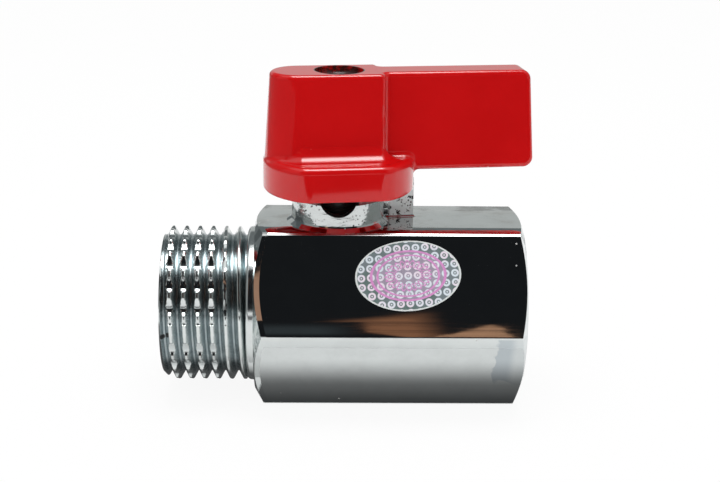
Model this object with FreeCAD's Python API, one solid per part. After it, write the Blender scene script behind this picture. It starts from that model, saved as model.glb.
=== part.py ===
import FreeCAD, Part
import math
import os

# Half-inch mini ball valve with a male and a female end, in millimetres.
# The origin is the foot of the stem axis on the lower flat of the hexagon.
# X runs along the pipe towards the female port and Z runs up the stem.

# Hexagon body
hex_across_flats = 24.0
hex_corner_radius = 0.4
hex_inlet_length = 11.05  # stem axis to the male end of the hexagon
hex_outlet_length = 24.8  # stem axis to the mouth of the female port
inlet_face_diameter = 23.5
inlet_chamfer_angle = 30.0  # turned end chamfers, from the end plane
outlet_face_diameter = 23.0
outlet_chamfer_angle = 22.0

# Pipe thread, G 1/2
thread_major_diameter = 20.955
thread_pitch = 1.814
thread_depth_in_pitches = 0.6403
thread_flank_angle = 27.5

# Female port
port_depth = 12.2
port_chamfer = 1.3
port_lead_in = 2.3  # mouth to the middle of the first groove

# Male end
collar_diameter = 21.3  # at the hexagon
collar_rim_diameter = 20.7  # at the thread
collar_width = 1.05
thread_length = 11.35
thread_lead_in = 1.48  # tip to the middle of the first crest
thread_tip_chamfer = 0.3
nipple_bore = 13.0
nipple_bore_chamfer = 0.5
nipple_wall_at_seat = 1.8
barrel_diameter = 18.0

# Flow way, ball and seats
flow_bore = 10.0
ball_diameter = 16.0
ball_cavity_diameter = 17.0
slot_width = 2.8
slot_floor_height = 5.9  # above the pipe axis
seat_diameter = 14.6
seat_bore = 10.4
seat_front = 4.2  # stem axis to the face of a seat
seat_back = 7.2
seat_proud = 0.4  # how far a seat stands out of its pocket

# Neck and stop post on top of the hexagon
neck_edge_margin = 0.73  # neck to the edge of the top flat
neck_height = 3.45
neck_foot_radius = 0.4
neck_recess_diameter = 9.4
neck_recess_depth = 1.6
neck_notch_radius = 2.5
neck_notch_depth = 1.5
post_edge_margin = 1.19  # far corner of the post to the edge of the top flat
post_height = 5.6
post_start_angle = 9.5  # from the pipe line to the stop face
post_span_angle = 24.0
post_edge_radius = 0.3
post_head_room = 0.6  # under the lever, over the post

# Stem, its washer and its two seals
stem_diameter = 7.0
stem_collar_diameter = 8.4
stem_collar_thickness = 1.4
tongue_width = 7.6
tongue_end_gap = 0.2  # tongue to the floor of the ball slot
collar_ball_gap = 0.4
washer_thickness = 0.8
seal_section = 1.0
seal_first_height = 11.35  # above the pipe axis
seal_spacing = 1.6
square_across_flats = 5.0
square_height = 9.5
tapping_depth = 8.0

# Lever
skirt_radius = 10.05
skirt_half_width = 8.45
skirt_corner_radius = 3.0
skirt_wall = 1.6
skirt_foot_gap = 1.15  # neck top to the skirt rim
skirt_height = 4.55
skirt_edge_radius = 0.9
skirt_rim_radius = 0.3
cup_depth = 2.4
boss_height = 11.2  # ledge to the top of the lever
boss_half_width = 4.7  # at the ledge
boss_rear_reach = 9.85  # at the ledge
boss_front_reach = 5.6
boss_corner_radius = 0.7
boss_foot_radius = 0.75
blade_crease_radius = 0.8  # boss to blade
boss_draft = 3.6
blade_half_width = 2.85  # at the lower edge
blade_reach = 26.1  # at the lower edge
blade_drop = 1.9  # ledge to the lower edge of the blade
blade_side_draft = 2.0
blade_end_radius = 1.3
top_edge_radius = 0.6  # round the boss and the blade
screw_recess_diameter = 6.5
screw_recess_depth = 3.35
web_thickness = 2.4

# Lever screw
screw_diameter = 3.0
screw_head_diameter = 5.6
screw_head_height = 2.4
screw_head_rounding = 0.9
screw_length = 9.0
cross_width = 0.9
cross_reach = 3.2
cross_depth = 1.3

# Foil label on the front upper flat
label_length = 13.8
label_height = 9.3
label_thickness = 0.1
label_centre_x = 9.1
label_centre_up = 1.4  # up the slope from the middle of the flat
label_tilt = 4.0  # in its own plane, the end by the port higher

# Motion: the lever rests against the open stop and closes clockwise, seen from above
rest_turn = 7.5
closing_turn = 97.5
stop_clearance_angle = 1.0

# Fits
thread_clearance = 0.05
seat_clearance = 0.05
running_clearance = 0.05
slot_clearance = 0.1
screw_clearance = 0.2

# Heights and places that follow from the sizes above
axis_height = hex_across_flats / 2
hex_corner_reach = hex_across_flats / math.sqrt(3)
thread_depth = thread_depth_in_pitches * thread_pitch
thread_minor_diameter = thread_major_diameter - 2 * thread_depth
neck_diameter = hex_corner_reach - 2 * neck_edge_margin
post_end_angle = post_start_angle + post_span_angle
post_radius = (hex_corner_reach / 2 - post_edge_margin) / math.sin(math.radians(post_end_angle))
neck_top = hex_across_flats + neck_height
skirt_foot = neck_top + skirt_foot_gap
ledge = skirt_foot + skirt_height
lever_top = ledge + boss_height
blade_foot = ledge - blade_drop
web_top = lever_top - screw_recess_depth
web_foot = web_top - web_thickness
post_top = hex_across_flats + post_height
collar_foot = axis_height + ball_diameter / 2 + collar_ball_gap
collar_top = collar_foot + stem_collar_thickness
washer_top = collar_top + running_clearance + washer_thickness
square_foot = neck_top
square_top = square_foot + square_height
tongue_foot = axis_height + slot_floor_height + tongue_end_gap
seat_pocket_mouth = seat_front + seat_proud
cut_margin = 1.0
hex_sides = 6
hex_step_angle = 360 / hex_sides

origin = FreeCAD.Vector(0, 0, 0)
along_x = FreeCAD.Vector(1, 0, 0)
along_y = FreeCAD.Vector(0, 1, 0)
along_z = FreeCAD.Vector(0, 0, 1)
pipe_centre = FreeCAD.Vector(0, 0, axis_height)
full_turn = 360


def tangent(degrees):
    return math.tan(math.radians(degrees))


def turned_on_pipe(profile):
    """Solid turned about the pipe axis from (x, radius) corners."""
    corners = [FreeCAD.Vector(x, 0, axis_height + radius) for x, radius in profile]
    face = Part.Face(Part.makePolygon(corners + corners[:1]))
    return face.revolve(pipe_centre, along_x, full_turn)


def turned_on_stem(profile, degrees=full_turn):
    """Solid turned about the stem axis from (radius, z) corners."""
    corners = [FreeCAD.Vector(radius, 0, z) for radius, z in profile]
    face = Part.Face(Part.makePolygon(corners + corners[:1]))
    return face.revolve(origin, along_z, degrees)


def stem_cylinder(diameter, foot, top):
    return Part.makeCylinder(diameter / 2, top - foot, FreeCAD.Vector(0, 0, foot), along_z)


def centred_box(length, width, foot, top):
    corner = FreeCAD.Vector(-length / 2, -width / 2, foot)
    return Part.makeBox(length, width, top - foot, corner)


def middle(edge):
    return edge.valueAt((edge.FirstParameter + edge.LastParameter) / 2)


def runs_along(edge, direction):
    """Whether an edge starts out parallel to a direction."""
    return near(abs(edge.tangentAt(edge.FirstParameter).dot(direction)), 1)


def edges_where(shape, test):
    """Edges of a shape whose ends and middle all pass a test."""
    chosen = []
    for edge in shape.Edges:
        points = [vertex.Point for vertex in edge.Vertexes] + [middle(edge)]
        if all(test(point) for point in points):
            chosen.append(edge)
    return chosen


def near(value, target):
    return abs(value - target) < 1e-4


def at_rest(shape):
    """Turn a piece from the pipe line to where the lever rests."""
    placed = shape.copy()
    placed.rotate(origin, along_z, rest_turn)
    return placed


def thread_rings(first, direction, room, base, peak):
    """Corners of rings one pitch apart, from the first for as long as there is room."""
    flank = thread_depth * tangent(thread_flank_angle)
    half_peak = thread_pitch / 4 - flank / 2
    half_base = half_peak + flank
    corners = []
    for index in range(int((room - half_base) / thread_pitch) + 1):
        centre = first + direction * index * thread_pitch
        corners += [
            (centre - direction * half_base, base),
            (centre - direction * half_peak, peak),
            (centre + direction * half_peak, peak),
            (centre + direction * half_base, base),
        ]
    return corners


def hexagon_bar():
    corners = []
    for index in range(hex_sides):
        angle = math.radians(hex_step_angle * index)
        y = hex_corner_reach * math.cos(angle)
        z = axis_height + hex_corner_reach * math.sin(angle)
        corners.append(FreeCAD.Vector(-hex_inlet_length, y, z))
    face = Part.Face(Part.makePolygon(corners + corners[:1]))
    bar = face.extrude(along_x * (hex_inlet_length + hex_outlet_length))
    bar = bar.makeFillet(hex_corner_radius, [edge for edge in bar.Edges if runs_along(edge, along_x)])
    inlet_set_back = (hex_corner_reach - inlet_face_diameter / 2) * tangent(inlet_chamfer_angle)
    outlet_set_back = (hex_corner_reach - outlet_face_diameter / 2) * tangent(outlet_chamfer_angle)
    envelope = turned_on_pipe([
        (-hex_inlet_length, 0),
        (-hex_inlet_length, inlet_face_diameter / 2),
        (-hex_inlet_length + inlet_set_back, hex_corner_reach),
        (hex_outlet_length - outlet_set_back, hex_corner_reach),
        (hex_outlet_length, outlet_face_diameter / 2),
        (hex_outlet_length, 0),
    ])
    return bar.common(envelope)


def stop_post():
    inside = (neck_recess_diameter + neck_diameter) / 4  # the middle of the neck wall
    profile = [
        (inside, axis_height),
        (post_radius, axis_height),
        (post_radius, post_top),
        (inside, post_top),
    ]
    post = turned_on_stem(profile, post_span_angle)
    outer = edges_where(post, lambda p: near(math.hypot(p.x, p.y), post_radius) and p.z > axis_height)
    post = post.makeFillet(post_edge_radius, outer)
    post.rotate(origin, along_z, post_start_angle)
    return post


def body():
    neck = stem_cylinder(neck_diameter, axis_height, neck_top)
    shell = hexagon_bar().fuse([neck, stop_post()]).removeSplitter()
    foot = edges_where(shell, lambda p: near(p.z, hex_across_flats)
                       and math.hypot(p.x, p.y) < post_radius + cut_margin)
    shell = shell.makeFillet(neck_foot_radius, foot)
    notch_height = neck_top + neck_notch_radius - neck_notch_depth
    notch_start = FreeCAD.Vector(0, -neck_diameter, notch_height)
    notch = Part.makeCylinder(neck_notch_radius, 2 * neck_diameter, notch_start, along_y)
    mouth = hex_outlet_length
    floor = mouth - port_depth
    minor = thread_minor_diameter / 2
    grooves = thread_rings(mouth - port_lead_in, -1, port_depth - port_lead_in,
                           minor, thread_major_diameter / 2)
    bores = turned_on_pipe([
        (-hex_inlet_length, 0),
        (-hex_inlet_length, barrel_diameter / 2 + thread_clearance),
        (-seat_pocket_mouth, barrel_diameter / 2 + thread_clearance),
        (-seat_pocket_mouth, ball_cavity_diameter / 2),
        (seat_pocket_mouth, ball_cavity_diameter / 2),
        (seat_pocket_mouth, seat_diameter / 2 + seat_clearance),
        (seat_back, seat_diameter / 2 + seat_clearance),
        (seat_back, flow_bore / 2),
        (floor, flow_bore / 2),
        (floor, minor),
        *reversed(grooves),
        (mouth - port_chamfer, minor),
        (mouth, minor + port_chamfer),
        (mouth, 0),
    ])
    collar_room = stem_cylinder(stem_collar_diameter + 2 * running_clearance, axis_height, washer_top)
    stem_room = stem_cylinder(stem_diameter + 2 * running_clearance, axis_height, neck_top)
    neck_recess = stem_cylinder(neck_recess_diameter, neck_top - neck_recess_depth, neck_top)
    return shell.cut([notch, bores, collar_room, stem_room, neck_recess])


def end_nipple():
    shoulder = -hex_inlet_length
    thread_foot = shoulder - collar_width
    tip = thread_foot - thread_length
    minor = thread_minor_diameter / 2
    crests = thread_rings(tip + thread_lead_in, 1, thread_length - thread_lead_in,
                          minor, thread_major_diameter / 2)
    neck_in = seat_back + nipple_wall_at_seat
    taper = (nipple_bore - flow_bore) / 2
    barrel = barrel_diameter / 2
    seat = seat_diameter / 2 + seat_clearance
    return turned_on_pipe([
        (-seat_pocket_mouth, seat),
        (-seat_pocket_mouth, barrel),
        (shoulder, barrel),
        (shoulder, collar_diameter / 2),
        (thread_foot, collar_rim_diameter / 2),
        (thread_foot, minor),
        *reversed(crests),
        (tip + thread_tip_chamfer, minor),
        (tip, minor - thread_tip_chamfer),
        (tip, nipple_bore / 2 + nipple_bore_chamfer),
        (tip + nipple_bore_chamfer, nipple_bore / 2),
        (-neck_in - taper, nipple_bore / 2),
        (-neck_in, flow_bore / 2),
        (-seat_back, flow_bore / 2),
        (-seat_back, seat),
    ])


def ball():
    sphere = Part.makeSphere(ball_diameter / 2, pipe_centre)
    bore_start = pipe_centre - along_x * ball_diameter
    bore = Part.makeCylinder(flow_bore / 2, 2 * ball_diameter, bore_start, along_x)
    slot = centred_box(slot_width, 2 * ball_diameter, axis_height + slot_floor_height,
                       axis_height + ball_diameter)
    return at_rest(sphere.cut([bore, slot]))


def seat(side):
    ring = turned_on_pipe([
        (side * seat_front, seat_bore / 2),
        (side * seat_front, seat_diameter / 2),
        (side * seat_back, seat_diameter / 2),
        (side * seat_back, seat_bore / 2),
    ])
    return ring.cut(Part.makeSphere(ball_diameter / 2 + running_clearance, pipe_centre))


def seal_height(index):
    return axis_height + seal_first_height + index * seal_spacing


def seal_ring_radius():
    bore_radius = stem_diameter / 2 + running_clearance
    return bore_radius - running_clearance / 2 - seal_section / 2


def stem():
    tongue_thickness = slot_width - 2 * slot_clearance
    tongue = centred_box(tongue_thickness, tongue_width, tongue_foot, collar_foot)
    collar = stem_cylinder(stem_collar_diameter, collar_foot, collar_top)
    shaft = stem_cylinder(stem_diameter, collar_top, square_foot)
    square = centred_box(square_across_flats, square_across_flats, square_foot, square_top)
    square = square.common(stem_cylinder(stem_diameter - 2 * running_clearance, square_foot, square_top))
    groove_floor = seal_ring_radius() - seal_section / 2 - running_clearance / 2
    grooves = []
    for index in range(2):
        foot = seal_height(index) - seal_section / 2 - running_clearance
        top = seal_height(index) + seal_section / 2 + running_clearance
        ring = stem_cylinder(stem_diameter + cut_margin, foot, top)
        grooves.append(ring.cut(stem_cylinder(2 * groove_floor, foot, top)))
    tapping = stem_cylinder(screw_diameter + 2 * thread_clearance, square_top - tapping_depth, square_top)
    spindle = tongue.fuse([collar, shaft, square]).removeSplitter()
    return at_rest(spindle.cut(grooves + [tapping]))


def stem_washer():
    blank = stem_cylinder(stem_collar_diameter, collar_top + running_clearance, washer_top)
    return blank.cut(stem_cylinder(stem_diameter + 2 * running_clearance, collar_top, washer_top))


def stem_seal(index):
    centre = FreeCAD.Vector(0, 0, seal_height(index))
    return Part.makeTorus(seal_ring_radius(), seal_section / 2, centre, along_z)


def skirt_outline(radius, half_width, foot, height, corner_radius):
    drum = Part.makeCylinder(radius, height, FreeCAD.Vector(0, 0, foot), along_z)
    drum = drum.common(centred_box(2 * radius, 2 * half_width, foot, foot + height))
    upright = [edge for edge in drum.Edges
               if runs_along(edge, along_z) and near(abs(middle(edge).y), half_width)]
    return drum.makeFillet(corner_radius, upright)


def boss_section(inset, z):
    half = boss_half_width - inset
    rear = inset - boss_rear_reach
    corners = [
        FreeCAD.Vector(boss_front_reach, -half, z),
        FreeCAD.Vector(rear + half, -half, z),
        FreeCAD.Vector(rear, 0, z),
        FreeCAD.Vector(rear + half, half, z),
        FreeCAD.Vector(boss_front_reach, half, z),
    ]
    edges = [
        Part.LineSegment(corners[0], corners[1]).toShape(),
        Part.Arc(corners[1], corners[2], corners[3]).toShape(),
        Part.LineSegment(corners[3], corners[4]).toShape(),
        Part.LineSegment(corners[4], corners[0]).toShape(),
    ]
    return Part.Wire(edges)


def lever_boss():
    slope = tangent(boss_draft)
    sections = [
        boss_section(-blade_drop * slope, blade_foot),
        boss_section(boss_height * slope, lever_top),
    ]
    return Part.makeLoft(sections, True, True)


def blade_section(half, reach, z):
    corners = [
        FreeCAD.Vector(0, -half, z),
        FreeCAD.Vector(reach, -half, z),
        FreeCAD.Vector(reach, half, z),
        FreeCAD.Vector(0, half, z),
    ]
    return Part.makePolygon(corners + corners[:1])


def lever_blade():
    height = lever_top - blade_foot
    half_top = blade_half_width - height * tangent(blade_side_draft)
    reach_top = blade_reach - height * tangent(boss_draft)
    sections = [
        blade_section(blade_half_width, blade_reach, blade_foot),
        blade_section(half_top, reach_top, lever_top),
    ]
    return Part.makeLoft(sections, True, True)


def boss_front_edges(shape, test):
    """Upright edges on the front of the boss whose distance from the middle passes a test."""
    return [edge for edge in shape.Edges
            if near(middle(edge).x, boss_front_reach) and not runs_along(edge, along_y)
            and test(abs(middle(edge).y))]


def upper_lever():
    """Boss and blade, rounded in one run from the creases to the top edge."""
    upper = lever_boss().fuse(lever_blade()).removeSplitter()
    shoulder = (boss_half_width + blade_half_width) / 2
    creases = boss_front_edges(upper, lambda y: y < shoulder)
    upper = upper.makeFillet(blade_crease_radius, creases)
    corners = boss_front_edges(upper, lambda y: y > shoulder)
    upper = upper.makeFillet(boss_corner_radius, corners)
    ends = [edge for edge in edges_where(upper, lambda p: p.x > blade_reach / 2)
            if runs_along(edge, along_y)]
    upper = upper.makeFillet(blade_end_radius, ends)
    return upper.makeFillet(top_edge_radius, edges_where(upper, lambda p: near(p.z, lever_top)))


def stop_window():
    """Room in the skirt for the stop post over the whole closing turn."""
    top = post_top + post_head_room
    profile = [
        (neck_diameter / 2, skirt_foot - cut_margin),
        (skirt_radius + cut_margin, skirt_foot - cut_margin),
        (skirt_radius + cut_margin, top),
        (neck_diameter / 2, top),
    ]
    window = turned_on_stem(profile, closing_turn + post_span_angle + 2 * stop_clearance_angle)
    window.rotate(origin, along_z, post_start_angle - stop_clearance_angle - rest_turn)
    return window


def handle():
    skirt = skirt_outline(skirt_radius, skirt_half_width, skirt_foot, skirt_height, skirt_corner_radius)
    skirt = skirt.makeFillet(skirt_edge_radius, edges_where(skirt, lambda p: near(p.z, ledge)))
    skirt = skirt.makeFillet(skirt_rim_radius, edges_where(skirt, lambda p: near(p.z, skirt_foot)))
    upper = upper_lever()
    lever = skirt.fuse(upper).removeSplitter()
    foot = [edge for edge in edges_where(lever, lambda p: near(p.z, ledge))
            if near(upper.distToShape(Part.Vertex(middle(edge)))[0], 0)]
    lever = lever.makeFillet(boss_foot_radius, foot)
    cup = skirt_outline(skirt_radius - skirt_wall, skirt_half_width - skirt_wall, skirt_foot - cut_margin,
                        cup_depth + cut_margin, skirt_corner_radius)
    socket_width = square_across_flats + 2 * running_clearance
    socket = centred_box(socket_width, socket_width, skirt_foot, web_foot)
    screw_way = stem_cylinder(screw_diameter + 2 * screw_clearance, web_foot, web_top)
    recess = stem_cylinder(screw_recess_diameter, web_top, lever_top + cut_margin)
    return at_rest(lever.cut([cup, socket, screw_way, recess, stop_window()]))


def handle_screw():
    head_top = web_top + screw_head_height
    head = stem_cylinder(screw_head_diameter, web_top, head_top)
    head = head.makeFillet(screw_head_rounding, edges_where(head, lambda p: near(p.z, head_top)))
    shank = stem_cylinder(screw_diameter, web_top - screw_length, web_top)
    cross = [
        centred_box(cross_reach, cross_width, head_top - cross_depth, head_top),
        centred_box(cross_width, cross_reach, head_top - cross_depth, head_top),
    ]
    return at_rest(head.fuse(shank).removeSplitter().cut(cross))


def label():
    ellipse = Part.Ellipse(origin, label_length / 2, label_height / 2)
    foil = Part.Face(Part.Wire(ellipse.toShape())).extrude(along_z * label_thickness)
    foil.rotate(origin, along_z, label_tilt)
    foil.translate(FreeCAD.Vector(label_centre_x, label_centre_up, hex_across_flats / 2))
    foil.rotate(origin, along_x, hex_step_angle)
    foil.translate(pipe_centre)
    return foil


pieces = {
    "body": body(),
    "end_nipple": end_nipple(),
    "ball": ball(),
    "seat_inlet": seat(-1),
    "seat_outlet": seat(1),
    "stem": stem(),
    "stem_washer": stem_washer(),
    "stem_o_ring_lower": stem_seal(0),
    "stem_o_ring_upper": stem_seal(1),
    "handle": handle(),
    "handle_screw": handle_screw(),
    "label": label(),
}

os.makedirs("parts", exist_ok=True)
for name, shape in pieces.items():
    shape.exportStep("parts/" + name + ".step")
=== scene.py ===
import math

import bmesh
import bpy
from mathutils import Matrix, Vector


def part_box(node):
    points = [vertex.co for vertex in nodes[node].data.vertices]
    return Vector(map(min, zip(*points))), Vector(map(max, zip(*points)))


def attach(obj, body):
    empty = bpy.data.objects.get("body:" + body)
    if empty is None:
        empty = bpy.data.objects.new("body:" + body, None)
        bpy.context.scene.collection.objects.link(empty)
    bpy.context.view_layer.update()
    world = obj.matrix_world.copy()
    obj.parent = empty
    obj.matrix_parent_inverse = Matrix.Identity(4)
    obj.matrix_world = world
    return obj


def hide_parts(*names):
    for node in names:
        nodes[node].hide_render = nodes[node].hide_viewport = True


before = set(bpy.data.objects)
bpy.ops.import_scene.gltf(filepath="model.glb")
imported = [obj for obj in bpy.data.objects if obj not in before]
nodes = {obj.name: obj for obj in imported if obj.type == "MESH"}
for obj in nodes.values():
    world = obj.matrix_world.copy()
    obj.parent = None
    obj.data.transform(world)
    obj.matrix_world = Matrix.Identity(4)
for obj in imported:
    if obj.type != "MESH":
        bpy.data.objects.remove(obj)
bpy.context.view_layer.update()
scene = bpy.context.scene
MM = 0.001

# Camera, as the photograph was taken: angles in degrees, lengths in millimetres
IMAGE_WIDTH = 720
FOCAL_PIXELS = 1449.3
SENSOR_WIDTH = 36.0
CAMERA_AZIMUTH = -1.49
CAMERA_ELEVATION = 17.25
CAMERA_ROLL = 0.8
CAMERA_TARGET = (3.03, 0.0, 20.90)
CAMERA_DISTANCE = 196.74
CAMERA_NEAR = 1.0

# The pipe axis and the hexagon, in millimetres
AXIS_Z = 12.0
HEX_FLAT = 12.0
HEX_HALF_SIDE = HEX_FLAT / math.sqrt(3)
HEX_SECTOR = math.pi / 3
HEX_TOP = 24.0
TOP_SECTOR = 1.0  # of the six sectors, which count upwards from 0 at the back
INLET_END = -11.05
INLET_FACE_RADIUS = 11.75
INLET_SLOPE = math.tan(math.radians(30.0))

# The male end, in millimetres
PITCH = 1.814
MAJOR = 20.955 / 2
MINOR = 18.632 / 2
FLANK = math.radians(27.5)
FLANK_SLOPE = math.tan(FLANK)
THREAD_ROUNDING = 0.16  # of the crests and the roots
ROUNDING_STEP = math.radians(31)  # where the mesh divides a rounding
THREAD_FOOT = -12.1
THREAD_TIP = -23.45
THREAD_PHASE = 0.62  # place of the crests along the thread, in pitches
START_CHAMFER = 1.0
COLLAR_RADIUS = 10.56
COLLAR_RIM = ((0.0, 10.15), (0.14, 10.38), (0.36, 10.5), (0.42, 10.51))  # from the thread, radius
NIPPLE_BORE = 6.5
BORE_CHAMFER = 0.5
BARREL_RADIUS = 9.0
SEAT_RADIUS = 7.35
FLOW_RADIUS = 5.0
SEAT_BACK = 7.2
SEAT_MOUTH = 4.6
NECK_IN = 9.0

# The notches across the crests of the male thread, in millimetres and degrees
NOTCHES = 22
NOTCH_STEPS = 20
NOTCH_DEPTH = 0.5
NOTCH_DATUM = 17.25  # above the front; the next angles are counted upwards from here
NOTCH_FIRST = 13.3
NOTCH_WORN = (-29.0, -14.0)
NOTCH_WORN_LEFT = 0.22  # share of the depth that is left there
NOTCH_GENTLE = 1.45
NOTCH_STEEP = 0.8
NOTCH_FULL_X = -16.2
NOTCH_NONE_X = -14.2

# The shoulder that the neck stands on: radius about the stem and height
NECK_FOOT = ((6.0, 23.93), (6.953, 23.93), (6.33, 24.46), (6.25, 24.56), (6.215, 24.7), (6.0, 24.9))
NECK_FOOT_STEPS = 240

# The lever's boss at its ledge, in the lever's own frame, and the cast sweep round its foot
LEDGE_Z = 33.15
LEDGE_RADIUS = 9.15
LEDGE_HALF = 7.55
LEDGE_STEP = 0.02
BOSS_HALF = 4.7
BOSS_REAR = -5.15  # centre of the round rear end
BOSS_FRONT = 5.6
BOSS_CORNER = 0.7
BOSS_DRAFT = math.tan(math.radians(3.6))
BOSS_REAR_ARC = range(226, 270, 2)
BOSS_SIDE_STEPS = 20
BOSS_CORNER_ARC = range(275, 361, 5)
BOSS_FRONT_PLACES = (-3.6, -3.2, -2.8, -2.4)
SWEEP_RADIUS = 2.3
SWEEP_SEARCH = SWEEP_RADIUS + 0.5
SWEEP_ROOM = 0.9  # share of the ledge that it takes at most
SWEEP_STEPS = 12
SWEEP_IN_BOSS = 0.6
SWEEP_IN_LEDGE = 0.3
SWEEP_LAP = 0.03  # of its hollow face into the boss
SWEEP_SINK = 0.01  # and into the ledge
REST_TURN = math.radians(7.5)

# Mesh work, in metres and degrees
SHARP_ANGLE = 36
MERGE_DISTANCE = 2e-7
SLIVER_LENGTH = 1e-7

# How polishing has softened the hexagon, in millimetres
CROWN_SLOPE = math.tan(math.radians(10.5))  # of a flat at its edge
CROWN_POWER = 4.0
TOP_CROWN = 2.7  # times as much on the top flat
ROLL_WIDTH = 0.7  # of the rounded inlet edge
ROLL_SLOPE = math.tan(math.radians(12.0))
BUFFED_RADIUS = (HEX_FLAT - 0.6, HEX_FLAT - 0.2)
UNBUFFED_Z = (HEX_TOP, HEX_TOP + 0.4)

# Spans over which marks come or go, in millimetres: X along the pipe, Y to the back, Z up
CAST_Z = (HEX_TOP + 0.1, HEX_TOP + 0.3)
POST_X = (6.6, 7.2)
TOP_FLAT_Z = (HEX_TOP - 0.1, HEX_TOP - 0.03)
# Painted shade inside the stem room round the stem, and on the stem above the body
STEM_ROOM_SHADE_RADIUS = (4.75, 4.85)
STEM_ROOM_SHADE_Z = (22.0, 22.2)
STEM_SHADE_Z = (25.4, 25.9)
STAIN_X = (21.8, 22.1)
STAIN_X_RAGGED = 2.6
STAIN_Z = (6.2, 6.5)
STAIN_Z_RAGGED = 5.0
STAIN_TOP = (AXIS_Z - 0.15, AXIS_Z - 0.05)
STAIN_FRONT = (-6.6, -6.2)
STAIN_PALER_X = (22.2, 23.5)
# Where the thread roots get duller plating and painted shade
ROOT_RADIUS = (MINOR + 0.15, MAJOR - 0.2)
ROOT_FLOOR = (MINOR - 0.2, MINOR - 0.1)
ROOT_X = (THREAD_TIP + 0.1, THREAD_TIP + 0.3)
TAR_SPOT = (-23.0, 10.5)  # a black spot on the front of the thread: X and Z
TAR_RADIUS = (0.3, 0.42)
TAR_FRONT = (-8.0, -7.0)
BLADE_UNDER_Z = (31.45, 31.6)
BLADE_X = (11.0, 11.5)
BLADE_EDGE = (2.35, 2.6)
RECESS_RADIUS = (3.3, 3.5)
RECESS_Z = (40.7, 40.9)

# The sticker, in millimetres; its rings as shares of their spacing, its lines as shares of the oval
LABEL_HALF_LONG = 6.9
LABEL_HALF_SHORT = 4.65
LABEL_X = 9.1
LABEL_UP = 1.4
LABEL_FLAT = math.radians(60)
LABEL_TILT = math.radians(4)
LATTICE = 0.82  # rows of rings to a millimetre
RING_RADIUS = 0.31
RING_EDGE = (0.09, 0.13)
DOT_EDGE = (0.07, 0.11)
RIMS = ((0.70, 0.02), (0.58, 0.014))  # size and half width
RIM_BLUR = 0.012
PETALS = 12
PETAL_DEPTH = 0.09
ROSETTE = 0.34
ROSETTE_EDGE = (0.014, 0.028)
INNER_OVAL = (0.66, 0.70)
LABEL_BORDER = (0.955, 0.975)

# Colours of the valve
CHROME = (0.70, 0.735, 0.73)
DUST = (0.75, 0.74, 0.72)
TOP_DUST = (0.36, 0.33, 0.28)
CAST_TONE = (0.42, 0.43, 0.43)
POST_TONE = (0.90, 0.98, 0.98)
PIT_TONE = (0.03, 0.03, 0.032)
STAIN_TONE = (0.50, 0.55, 0.575)
ROOT_DULL_AND_SHADE_TONE = (0.29, 0.345, 0.36)
# Painted shade, nearly black, in the stem room and on the stem
PAINTED_SHADE_TONE = (0.012, 0.012, 0.012)
TAR = (0.01, 0.01, 0.01)
RED = (0.56, 0.0022, 0.003)
RED_LIGHT = (0.61, 0.003, 0.004)
NIB_TONE = (0.80, 0.45, 0.42)
BARE_METAL = (0.85, 0.78, 0.76)
RECESS_DARK_TONE = (0.02, 0.008, 0.006)
BRASS = (0.72, 0.53, 0.25)
BRASS_DARK = (0.55, 0.38, 0.17)
ZINC = (0.62, 0.62, 0.62)
ZINC_DARK = (0.42, 0.42, 0.43)
PTFE = (0.83, 0.83, 0.80)
PTFE_SHADE = (0.76, 0.76, 0.73)
RUBBER = (0.018, 0.018, 0.018)
RUBBER_SHADE = (0.03, 0.03, 0.03)
FOIL_PINK = (0.86, 0.76, 0.86)
FOIL_BLUE = (0.74, 0.82, 0.88)
FOIL_GREEN = (0.14, 0.20, 0.19)
FOIL_SLATE = (0.20, 0.24, 0.26)
FOIL_INNER = (0.55, 0.42, 0.58)
FOIL_LINES = (0.72, 0.30, 0.62)
FOIL_BORDER = (0.76, 0.80, 0.79)

# Tones of the studio, and its lengths in millimetres
WHITE = (1.0, 1.0, 1.0)
BLACK = (0.0, 0.0, 0.0)
FLOOR_TONE = (0.9, 0.9, 0.9)
FLAG = (0.0105, 0.0115, 0.013)
DIM = (0.10, 0.11, 0.115)
DUSK = (0.15, 0.165, 0.17)
BACK_DARK = (0.16, 0.175, 0.18)
BACK_PALE = (0.50, 0.515, 0.51)
LEFT_PALE = (0.33, 0.345, 0.345)
RIGHT_PALE = (0.32, 0.335, 0.33)
BAND_TONE = (0.035, 0.042, 0.046)
SKIN = (0.27, 0.118, 0.062)
SKIN_BRIGHT = (0.46, 0.245, 0.145)
SKIN_SIDE = (0.42, 0.24, 0.16)
FLOOR_HALF = 3000.0
FLOOR_GAP = 0.02
FLOOR_WHITE = 0.92  # share of plain white in the floor that the camera sees
FILL_STRENGTH = 0.8
OVERHEAD_STRENGTH = 13.0
CONTACT_Z = 0.2
CONTACT_NEAR = 6.6
CONTACT_WIDTH = 9.4
CONTACT_SHADE = (6.9, 9.6, 0.033, 0.155)  # from and to a distance, and the light at both
CONTACT_OPEN = (9.3, 13.4, 0.0, 0.72)
THREAD_SHADE = (-10.0, -5.0, 0.85, 0.08)
TONGUE_TIP = (-8.0, 249.0)  # of the warm patch: X and Z
TONGUE_UNDER = 2.55  # slopes of its lower and upper sides
TONGUE_OVER = 1.05
TONGUE_UNDER_BLUR = (-8, 8)
TONGUE_OVER_BLUR = (-6, 26)
TONGUE_END = (33.0, 52.0)


def point(x, radius, angle):
    """A point about the pipe axis; the angle runs from the front, upwards."""
    y = -radius * math.cos(angle)
    z = AXIS_Z + radius * math.sin(angle)
    return Vector((x * MM, y * MM, z * MM))


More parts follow.
